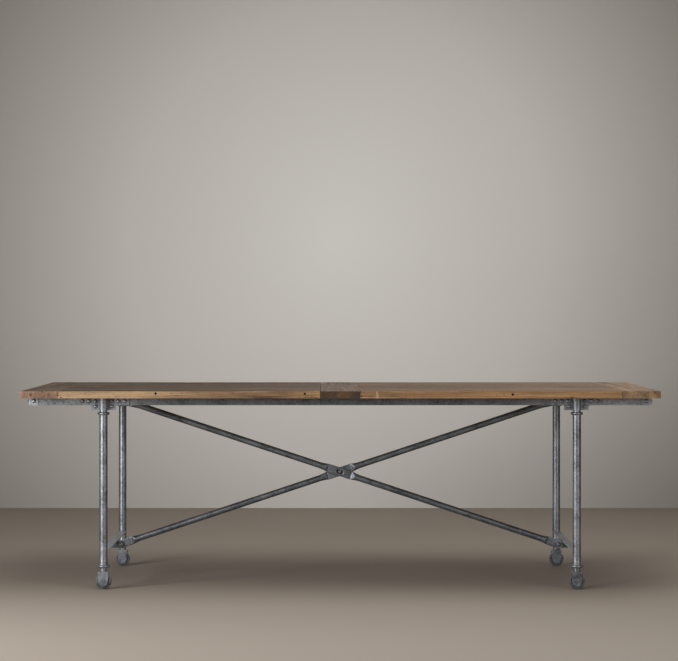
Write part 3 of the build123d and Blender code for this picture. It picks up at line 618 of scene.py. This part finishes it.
def carve(piece, points, faces):
    """Cuts a closed shape, in millimetres, out of a piece and paints the cut's faces near black, as painted
    shade.
    """
    mesh = bpy.data.meshes.new("cutter")
    mesh.from_pydata([tuple(p * MM) for p in points], [], faces)
    mesh.materials.append(hole_shade_paint.material)
    cutter = bpy.data.objects.new("cutter", mesh)
    scene.collection.objects.link(cutter)
    cut = piece.modifiers.new("cut", "BOOLEAN")
    cut.operation = "DIFFERENCE"
    cut.solver = "MANIFOLD"
    cut.material_mode = "TRANSFER"
    cut.object = cutter
    bpy.context.view_layer.update()
    shaped = piece.evaluated_get(bpy.context.evaluated_depsgraph_get())
    result = bpy.data.meshes.new_from_object(shaped)
    piece.modifiers.clear()
    piece.data = result
    bpy.data.objects.remove(cutter)


HOLE_SIDES = 18
HOLE_UNEVEN = 0.10
HOLE_CAP = -3.0


def drill(piece, holes, seed):
    """Cuts old drill and nail holes, as (place, direction in, radius, depth) in millimetres, into a board."""
    chance = np.random.RandomState(seed)
    points, faces = [], []
    sides = HOLE_SIDES
    for place, inward, radius, depth in holes:
        place, inward = np.array(place, float), np.array(inward, float)
        first = np.cross(inward, (0.0, 0.0, 1.0) if abs(inward[2]) < 0.5 else (1.0, 0.0, 0.0))
        first /= np.linalg.norm(first)
        second = np.cross(inward, first)
        start = len(points)
        uneven = 1.0 + HOLE_UNEVEN * (chance.rand(sides) - 0.5)
        for level, scale in ((HOLE_CAP, 1.25), (0.3, 1.12), (1.2, 1.0), (depth, 0.86)):
            for i in range(sides):
                turn = 2 * math.pi * i / sides
                out = (first * math.cos(turn) + second * math.sin(turn)) * radius * scale * uneven[i]
                points.append(place + inward * level + out)
        points.append(place + inward * HOLE_CAP)
        points.append(place + inward * (depth + 0.5 * radius))
        for ring in range(3):
            for i in range(sides):
                j = (i + 1) % sides
                a, b = start + ring * sides, start + (ring + 1) * sides
                faces.append((a + i, a + j, b + j, b + i))
        for i in range(sides):
            j = (i + 1) % sides
            faces.append((start + 4 * sides, start + j, start + i))
            faces.append((start + 4 * sides + 1, start + 3 * sides + i, start + 3 * sides + j))
    carve(piece, points, faces)


CRACK_STATIONS = 14
CRACK_END = 0.02
CRACK_RISE = 1.5
CRACK_BEND = 2.2


def crack(piece, start, end, inward, width, depth, seed):
    """A long narrow split between two places on a board's surface, in millimetres."""
    start, end, inward = np.array(start, float), np.array(end, float), np.array(inward, float)
    along = end - start
    side = np.cross(inward, along / np.linalg.norm(along))
    points = [start - along * CRACK_END]
    for i in range(CRACK_STATIONS):
        share = (i + 0.5) / CRACK_STATIONS
        at = start + along * share
        chance = value_noise(np.array([[share * 6.0, 0.5, 0.5], [share * 9.0, 3.5, 0.5]]), seed)
        half = width / 2 * (0.35 + 0.9 * chance[0]) * math.sin(math.pi * share) ** 0.5
        at = at + side * (chance[1] - 0.5) * width * CRACK_BEND
        points.append(at - inward * CRACK_RISE + side * half)
        points.append(at - inward * CRACK_RISE - side * half)
        points.append(at + inward * depth * (0.4 + 0.6 * chance[0]))
    points.append(end + along * CRACK_END)
    last = len(points) - 1
    faces = [(0, 2, 1), (0, 3, 2), (0, 1, 3)]
    for i in range(CRACK_STATIONS - 1):
        a, b = 1 + 3 * i, 4 + 3 * i
        for j in range(3):
            k = (j + 1) % 3
            faces.append((a + j, a + k, b + k, b + j))
    a = last - 3
    faces += [(last, a, a + 1), (last, a + 1, a + 2), (last, a + 2, a)]
    carve(piece, points, faces)


# The boards' tones, each from the left end of its board or bay to the right one.
EDGE_TONES = {
    "left": [
        (0.0, tone(171, 145, 114)),
        (0.48, tone(165, 138, 108)),
        (0.60, tone(154, 126, 97)),
        (0.9, tone(150, 121, 91)),
        (1.0, tone(160, 131, 97)),
    ],
    "right": [
        (0.0, tone(152, 120, 89)),
        (0.3, tone(156, 122, 89)),
        (0.65, tone(154, 121, 87)),
        (1.0, tone(160, 126, 91)),
    ],
    "left_end_board": [
        (0.0, tone(162, 134, 115)),
        (0.34, tone(156, 127, 107)),
        (0.44, tone(129, 103, 87)),
        (1.0, tone(137, 110, 90)),
    ],
    "centre_board": [
        (0.0, tone(80, 66, 52)),
        (0.38, tone(84, 66, 50)),
        (0.5, tone(107, 81, 57)),
        (0.68, tone(103, 79, 57)),
        (0.74, tone(75, 62, 52)),
        (1.0, tone(77, 64, 54)),
    ],
    "right_end_board": [
        (0.0, tone(131, 109, 86)),
        (0.3, tone(160, 133, 103)),
        (1.0, tone(154, 127, 99)),
    ],
}
# The tops' tones also hold painted light: the tops are lighter on the table's right than on its left.
TOP_TONES_AND_PAINTED_LIGHT = {
    "left": [(0.0, tone(103, 87, 75)), (0.5, tone(96, 82, 72)), (1.0, tone(116, 99, 86))],
    "right": [(0.0, tone(128, 108, 92)), (0.5, tone(131, 112, 97)), (1.0, tone(146, 126, 110))],
    "left_end_board": [(0.0, tone(119, 100, 85)), (1.0, tone(108, 92, 79))],
    "centre_board": [(0.0, tone(123, 108, 97)), (1.0, tone(127, 111, 100))],
    "right_end_board": [(0.0, tone(158, 136, 117)), (1.0, tone(174, 150, 129))],
}

GAP = 0.25
PLANKS = 6
SCARRED_PLANK = "right_plank_1"
SCAR_X = 0.201


def node_box(node):
    """A CAD node's corners in millimetres."""
    return [np.array(corner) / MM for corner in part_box(node)]


end_boxes = {side: node_box(f"{side}_end_board") for side in ("left", "right")}
centre_low, centre_high = node_box("centre_board")
bays = {
    "left": (end_boxes["left"][1][0] + GAP, centre_low[0] - GAP),
    "right": (centre_high[0] + GAP, end_boxes["right"][0][0] - GAP),
}
pieces = {}
for side, (bay_start, bay_end) in bays.items():
    for number in range(1, PLANKS + 1):
        node = f"{side}_plank_{number}"
        low, high = node_box(node)
        low[0], high[0] = bay_start, bay_end
        if number < PLANKS:
            high[1] = node_box(f"{side}_plank_{number + 1}")[0][1] - 2 * GAP
        seed = number * 7 + (60 if side == "right" else 0)
        chance = np.random.RandomState(seed)
        pith = ((chance.rand() - 0.5) * 0.12, -0.06 - 0.12 * chance.rand())
        knots = [
            (
                (bay_start + (bay_end - bay_start) * (0.12 + 0.76 * chance.rand())) * MM,
                (chance.rand() - 0.5) * 0.11,
                0.0,
                0.010 + 0.010 * chance.rand(),
            )
            for _ in range(1 + number % 2)
        ]
        shift = 0.80 + 0.40 * chance.rand()
        tops = [(place, tuple(c * shift for c in colour[:3]) + (1.0,)) for place, colour in TOP_TONES_AND_PAINTED_LIGHT[side]]
        ring_gap = 4.2 + 2.4 * chance.rand()
        scar = SCAR_X if node == SCARRED_PLANK else None
        timber = wood(
            f"{node}_timber", "X", low * MM, high * MM, seed, EDGE_TONES[side], tops,
            ring_gap, pith, knots, scar=scar,
        )
        pieces[node] = board(f"{node}_wood", low, high, "X", seed, timber)

# The boards that run front to back. The end boards have a knot in the front edge and one further back.
BACK_KNOT = (0.16, 0.01, 0.0, 0.014)
cross_boards = {
    "left_end": dict(
        seed=101, wear=1.05, ring_gap=5.0, pith=(-0.02, -0.09),
        knots=[(-0.503, -0.030, -0.014, 0.011), BACK_KNOT],
    ),
    "right_end": dict(
        seed=139, wear=1.05, ring_gap=5.0, pith=(0.05, -0.05),
        knots=[(-0.503, 0.050, -0.008, 0.006), BACK_KNOT],
    ),
    "centre": dict(
        seed=171, wear=1.15, ring_gap=6.5, pith=(0.01, -0.05),
        knots=[(0.2, -0.02, 0.0, 0.013)], rough_sawn=0.5,
    ),
}
for start, kind in cross_boards.items():
    node = f"{start}_board"
    low, high = node_box(node)
    timber = wood(
        f"{start}_timber", "Y", low * MM, high * MM, kind["seed"], EDGE_TONES[node], TOP_TONES_AND_PAINTED_LIGHT[node],
        kind["ring_gap"], kind["pith"], kind["knots"], kind.get("rough_sawn", 0.0),
    )
    pieces[node] = board(f"{node}_wood", low, high, "Y", kind["seed"], timber, kind["wear"], 0.7)

# Old bored holes, nail holes, chips and splits in the front edge: (x, z, radius, depth) for a hole, and
# ((x, z) at each end, width, depth) for a split.
FRONT = centre_low[1]
INTO_FRONT = (0.0, 1.0, 0.0)
DOWN = (0.0, 0.0, -1.0)
front_holes = {
    "left_plank_1": [
        (-701.0, 758.4, 4.0, 11.0),
        (-134.0, 756.9, 4.2, 11.0),
        (-968.0, 759.5, 1.5, 3.5),
        (-862.0, 757.0, 1.6, 3.0),
        (-1071.8, 764.0, 1.5, 3.5),
        (-1072.2, 757.5, 1.7, 3.5),
        (-1071.6, 751.0, 2.1, 4.0),
        (-1060.0, 743.6, 2.2, 3.0),
        (-122.0, 751.5, 1.8, 3.5),
        (-108.0, 749.5, 1.5, 3.0),
    ],
    "right_plank_1": [(655.8, 754.6, 4.0, 11.0), (81.5, 747.8, 3.0, 6.0), (880.0, 744.0, 2.0, 3.0)],
    "left_end_board": [(-1131.6, 764.8, 2.3, 5.0)],
}
for seed, (node, holes) in enumerate(front_holes.items(), 3):
    drill(pieces[node], [((x, FRONT, z), INTO_FRONT, radius, depth) for x, z, radius, depth in holes], seed)
front_splits = [
    ("left_plank_1", (-640.0, 764.6), (-585.0, 763.8), 1.5, 4.0),
    ("left_plank_1", (-578.0, 763.6), (-528.0, 764.4), 1.3, 4.0),
    ("left_plank_1", (-436.0, 741.9), (-378.0, 742.3), 2.0, 4.0),
    ("left_plank_1", (-101.0, 741.6), (-79.0, 744.5), 5.0, 4.0),
    ("right_plank_1", (236.0, 763.4), (262.0, 763.0), 1.5, 3.5),
    ("right_end_board", (1096.0, 757.0), (1121.0, 751.0), 1.1, 3.5),
    ("centre_board", (-40.0, 748.0), (-8.0, 750.5), 1.2, 4.0),
]
for seed, (node, first, last, width, depth) in enumerate(front_splits, 1):
    ends = [(x, FRONT, z) for x, z in (first, last)]
    crack(pieces[node], *ends, INTO_FRONT, width, depth, seed)

# Old nail holes in the top, and splits that run in from the boards' ends.
NAILS = 3
END_SPLIT_DEPTH = 5.0
for number, (node, piece) in enumerate(sorted(pieces.items())):
    chance = np.random.RandomState(400 + number)
    low, high = np.array(piece.bound_box[0]) / MM, np.array(piece.bound_box[6]) / MM
    nails = []
    for _ in range(NAILS):
        spot = low + (high - low) * (0.06 + 0.88 * chance.rand(3))
        nails.append(((spot[0], spot[1], high[2]), DOWN, 1.6 + 0.9 * chance.rand(), 6.0))
    drill(piece, nails, 500 + number)
    reach = 45.0 + 70.0 * chance.rand()
    inset = 0.25 + 0.5 * chance.rand()
    if "plank" in node:
        outer = low[0] if "left" in node else high[0]
        y = low[1] + (high[1] - low[1]) * inset
        tip = outer + (reach if "left" in node else -reach)
        ends, width = ((outer, y, high[2]), (tip, y + 3.0, high[2])), 1.3
    else:
        x = low[0] + (high[0] - low[0]) * inset
        ends, width = ((x, low[1] + 6.0, high[2]), (x + 2.0, low[1] + 6.0 + reach, high[2])), 1.4
    crack(piece, *ends, DOWN, width, END_SPLIT_DEPTH, 20 + number)

for node, piece in pieces.items():
    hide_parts(node)
    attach(piece, "table_frame")


# ---------------------------------------------------------------- iron and steel

# How many features the iron's patterns have to the metre.
CLOUDS = (14.0, 14.0, 14.0)
SPECKS = (640.0, 640.0, 640.0)
PITS = (330.0, 330.0, 330.0)
GRIME = (38.0, 38.0, 38.0)
MOTTLE = 130.0
FLAKES_TO_MOTTLE = 1.6
GRIME_STAIN, GRIME_SHOWS = tone(58, 56, 54), 0.35
PIT_STAIN, PIT_SHOWS = tone(44, 42, 41), 0.5
IRON_BUMP = 0.8
IRON_RELIEF = 0.0003
IRON_SPECULAR = 0.4

# Where the painted shade at the long pieces' middle begins to fade and where it ends, in metres from the table's
# middle. It stands in for the dimmer reflections there.
MIDDLE_SHADE_REACH = (0.6, 1.05)


def iron(name, dark, pale, metallic, smooth, dull, middle=None):
    """Old grey iron: a mottled skin, fine speckle, small pits and a patchy dull sheen, between the tones dark
    and pale. middle is how dark the painted shade at the table's middle makes the colour."""
    g = Graph(name)
    at = g.place()
    cloud = g.noise(at, CLOUDS, 3.0, 0.55)
    patch = g.noise(at, (MOTTLE,) * 3, 3.0, 0.6)
    speck = g.noise(at, SPECKS, 2.0, 0.6)
    flake = g.ease(g.cells(at, (MOTTLE * FLAKES_TO_MOTTLE,) * 3), 0.1, 0.75)
    pit = g.ease(g.noise(at, PITS, 1.0), 0.64, 0.74)
    mixed = g.add(g.times(cloud, 0.34), g.times(patch, 0.4), g.times(speck, 0.2), g.times(flake, 0.08))
    between = tuple((a + b) / 2 for a, b in zip(dark, pale))
    colour = g.ramp(g.ease(mixed, 0.36, 0.64), [(0.0, dark), (0.45, between), (1.0, pale)])
    grime = g.ease(g.noise(at, GRIME, 4.0, 0.6), 0.55, 0.72)
    colour = g.blend(g.times(grime, GRIME_SHOWS), colour, GRIME_STAIN)
    colour = g.blend(g.times(pit, PIT_SHOWS), colour, PIT_STAIN)
    # Painted shade: darker towards the table's middle, standing in for the dimmer reflections that the rail and
    # the braces show there.
    if middle is not None:
        outward = g.math("ABSOLUTE", g.split(at)[0])
        colour = g.tint(colour, g.ease(outward, *MIDDLE_SHADE_REACH, middle, 1.0))
    sheen = g.ease(g.add(g.times(patch, 0.6), g.times(cloud, 0.4)), 0.38, 0.62, smooth, dull)
    sheen = g.add(sheen, g.times(pit, 0.15))
    height = g.add(g.times(patch, 0.7), g.times(speck, 0.25))
    height = g.minus(height, g.times(pit, 0.6 * PIT_SHOWS))
    g.bump(height, IRON_BUMP, IRON_RELIEF)
    g.shade(Base_Color=colour, Roughness=sheen, Metallic=metallic, Specular_IOR_Level=IRON_SPECULAR)
    return g.material


# For each of the record's iron and steel slots: dark tone, pale tone, metallic, least and most roughness.
GREYS = {
    "rail_iron": (tone(102, 106, 112), tone(170, 175, 182), 0.70, 0.44, 0.58),
    "clip_iron": (tone(106, 110, 115), tone(176, 180, 186), 0.70, 0.42, 0.58),
    "bracket_iron": (tone(94, 98, 104), tone(160, 165, 172), 0.70, 0.40, 0.56),
    "leg_pipe": (tone(92, 96, 102), tone(162, 167, 174), 0.80, 0.32, 0.46),
    "collar_iron": (tone(90, 94, 100), tone(158, 163, 170), 0.80, 0.34, 0.48),
    "stretcher_iron": (tone(140, 143, 148), tone(204, 208, 213), 0.50, 0.46, 0.60),
    "brace_pipe": (tone(84, 88, 94), tone(152, 157, 165), 0.80, 0.34, 0.50),
    "bolt_steel": (tone(84, 87, 91), tone(156, 160, 165), 0.80, 0.28, 0.40),
    "rivet_iron": (tone(98, 102, 108), tone(168, 172, 178), 0.82, 0.24, 0.36),
    "screw_steel": (tone(96, 98, 101), tone(150, 152, 155), 0.85, 0.34, 0.50),
    "fork_iron": (tone(82, 86, 92), tone(150, 155, 162), 0.76, 0.36, 0.52),
    "axle_steel": (tone(96, 99, 104), tone(160, 164, 169), 0.85, 0.30, 0.44),
    "wheel_iron": (tone(66, 69, 74), tone(126, 130, 137), 0.74, 0.38, 0.56),
}
# How dark the painted shade at the table's middle makes the rail and the braces.
MIDDLE_PAINTED_SHADE = {"rail_iron": 0.51, "brace_pipe": 0.8}
metals = {slot: iron(slot + "_skin", *values, middle=MIDDLE_PAINTED_SHADE.get(slot)) for slot, values in GREYS.items()}
for part in frame["record"]["subparts"]:
    if part["material_slot"] in metals:
        for slot in frame["nodes"][part["node"]].material_slots:
            slot.material = metals[part["material_slot"]]
# Painted shade: the brace lugs are a much darker grey, standing in for the shadow that the bars and the brace
# ends cast on them.
lug_painted_shade_skin = iron("lug_painted_shade_skin", tone(52, 54, 57), tone(96, 99, 103), 0.6, 0.50, 0.64)
for slot in frame["nodes"]["brace_lugs"].material_slots:
    slot.material = lug_painted_shade_skin


# ---------------------------------------------------------------- braces

PIPE_RADIUS = 12.5
FLAT_HALF_WIDTH = 17.0
FLAT_THICKNESS = 8.0
CENTRE_FLAT = 46.0
END_FLAT = 44.0
STEP_LENGTH = 17.0
SPREAD_LENGTH = 40.0
SPREAD_LEAD = 8.0
AROUND = 44
COARSE_PACE, MIDDLE_PACE, FINE_PACE = 9.0, 6.0, 1.7
FLAT_SQUARENESS = 4.0

# The long sunk slot at the crossing, and the pipe's dents.
SLOT_SIDES = 28
SLOT_RADIUS = 7.0
SLOT_HALF_LENGTH = 6.5
SLOT_DEPTH = 3.0
SLOT_RISE = 2.0
SLOT_DRAFT = 0.94
DENTS = (42.0, 9.0, 42.0)
DENT_SIZE = 0.30
FINE_DENTS = 6.0
FINE_DENT_SIZE = 0.16


def brace(name, node, turned, seed):
    """One long pipe of the X, squashed flat at its ends and its middle, as a new piece that stands for the node.
    turned swaps it end for end and front for back."""
    low, high = node_box(node)
    end_x, end_z = high[0] - FLAT_HALF_WIDTH, high[2] - FLAT_HALF_WIDTH
    middle_z = (low[2] + high[2]) / 2
    half = math.hypot(end_x, end_z - middle_z)
    run = np.array((end_x, 0.0, middle_z - end_z)) / half
    side = np.array((-run[2], 0.0, run[0]))
    centre_spread = CENTRE_FLAT + SPREAD_LENGTH + 6.0
    end_flat = half - END_FLAT
    stops = (0.0, CENTRE_FLAT, centre_spread, end_flat - SPREAD_LENGTH, end_flat, half)
    paces = (MIDDLE_PACE, FINE_PACE, COARSE_PACE, FINE_PACE, MIDDLE_PACE)
    places = [np.arange(a, b, pace) for a, b, pace in zip(stops, stops[1:], paces)]
    nose = half + FLAT_HALF_WIDTH * np.sin(np.linspace(0.0, math.pi / 2, 10)[:-1])
    outward = np.concatenate(places + [nose, [half + FLAT_HALF_WIDTH - 0.05]])
    stations = np.concatenate((-outward[:0:-1], outward))
    turn = np.linspace(0.0, 2 * math.pi, AROUND, endpoint=False)
    rings = []
    for station in stations:
        far = abs(station)
        centre_step = ease(far, CENTRE_FLAT, CENTRE_FLAT + STEP_LENGTH)
        end_step = 1.0 - ease(far, end_flat - STEP_LENGTH, end_flat)
        round_share = centre_step * end_step
        spread = ease(far, CENTRE_FLAT - SPREAD_LEAD, CENTRE_FLAT + SPREAD_LENGTH)
        spread *= 1.0 - ease(far, end_flat - SPREAD_LENGTH, end_flat + SPREAD_LEAD)
        width = FLAT_HALF_WIDTH + (PIPE_RADIUS - FLAT_HALF_WIDTH) * spread
        if far > half:
            width = math.sqrt(max(FLAT_HALF_WIDTH ** 2 - (far - half) ** 2, 0.01))
        thick = FLAT_THICKNESS / 2 + (PIPE_RADIUS - FLAT_THICKNESS / 2) * round_share
        square = 2.0 / (2.0 + FLAT_SQUARENESS * (1.0 - round_share))
        across = width * np.sign(np.cos(turn)) * np.abs(np.cos(turn)) ** square
        through = thick * np.sign(np.sin(turn)) * np.abs(np.sin(turn)) ** square
        ring = run * station + side * across[:, None]
        ring[:, 1] = through
        rings.append(ring)
    points = np.concatenate(rings)

    # Dents, on the round parts only.
    dent = DENT_SIZE * value_noise(points / DENTS, seed)
    dent = dent + FINE_DENT_SIZE * value_noise(points / FINE_DENTS, seed + 1)
    keep = np.abs(points[:, 1])[:, None] > FLAT_THICKNESS / 2 + 0.6
    axis = (points @ run)[:, None] * run
    outward_way = points - axis
    outward_way /= np.maximum(np.linalg.norm(outward_way, axis=1, keepdims=True), 0.01)
    points -= np.where(keep, dent[:, None] * outward_way, 0.0)
    points += (0.0, -FLAT_THICKNESS / 2, middle_z)
    faces = []
    for i in range(len(stations) - 1):
        for j in range(AROUND):
            k = (j + 1) % AROUND
            a, b = i * AROUND, (i + 1) * AROUND
            faces.append((a + j, a + k, b + k, b + j))
    faces.append(tuple(range(AROUND))[::-1])
    faces.append(tuple((len(stations) - 1) * AROUND + j for j in range(AROUND)))
    mesh = bpy.data.meshes.new(name)
    mesh.from_pydata((points * MM).tolist(), [], faces)
    mesh.polygons.foreach_set("use_smooth", np.ones(len(faces), bool))
    mesh.materials.append(metals["brace_pipe"])
    piece = bpy.data.objects.new(name, mesh)
    scene.collection.objects.link(piece)

    rim = []
    for i in range(SLOT_SIDES):
        a = 2 * math.pi * (i + 0.5) / SLOT_SIDES
        shift = math.copysign(SLOT_HALF_LENGTH, math.cos(a))
        rim.append(run * (shift + SLOT_RADIUS * math.cos(a)) + side * SLOT_RADIUS * math.sin(a))
    above = [p + (0.0, -FLAT_THICKNESS - SLOT_RISE, middle_z) for p in rim]
    below = [p * SLOT_DRAFT + (0.0, -FLAT_THICKNESS + SLOT_DEPTH, middle_z) for p in rim]
    walls = []
    for i in range(SLOT_SIDES):
        j = (i + 1) % SLOT_SIDES
        walls.append((i, SLOT_SIDES + i, SLOT_SIDES + j, j))
    ends = [tuple(range(SLOT_SIDES)), tuple(range(SLOT_SIDES, 2 * SLOT_SIDES))[::-1]]
    # The slot's inside takes the holes' near-black painted shade.
    carve(piece, above + below, walls + ends)
    if turned:
        places = np.empty(len(piece.data.vertices) * 3, np.float32)
        piece.data.vertices.foreach_get("co", places)
        places = places.reshape(-1, 3) * (-1.0, -1.0, 1.0)
        piece.data.vertices.foreach_set("co", places.astype(np.float32).ravel())
    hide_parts(node)
    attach(piece, "table_frame")


brace("front_brace_pipe", "front_brace", False, 61)
brace("rear_brace_pipe", "rear_brace", True, 67)
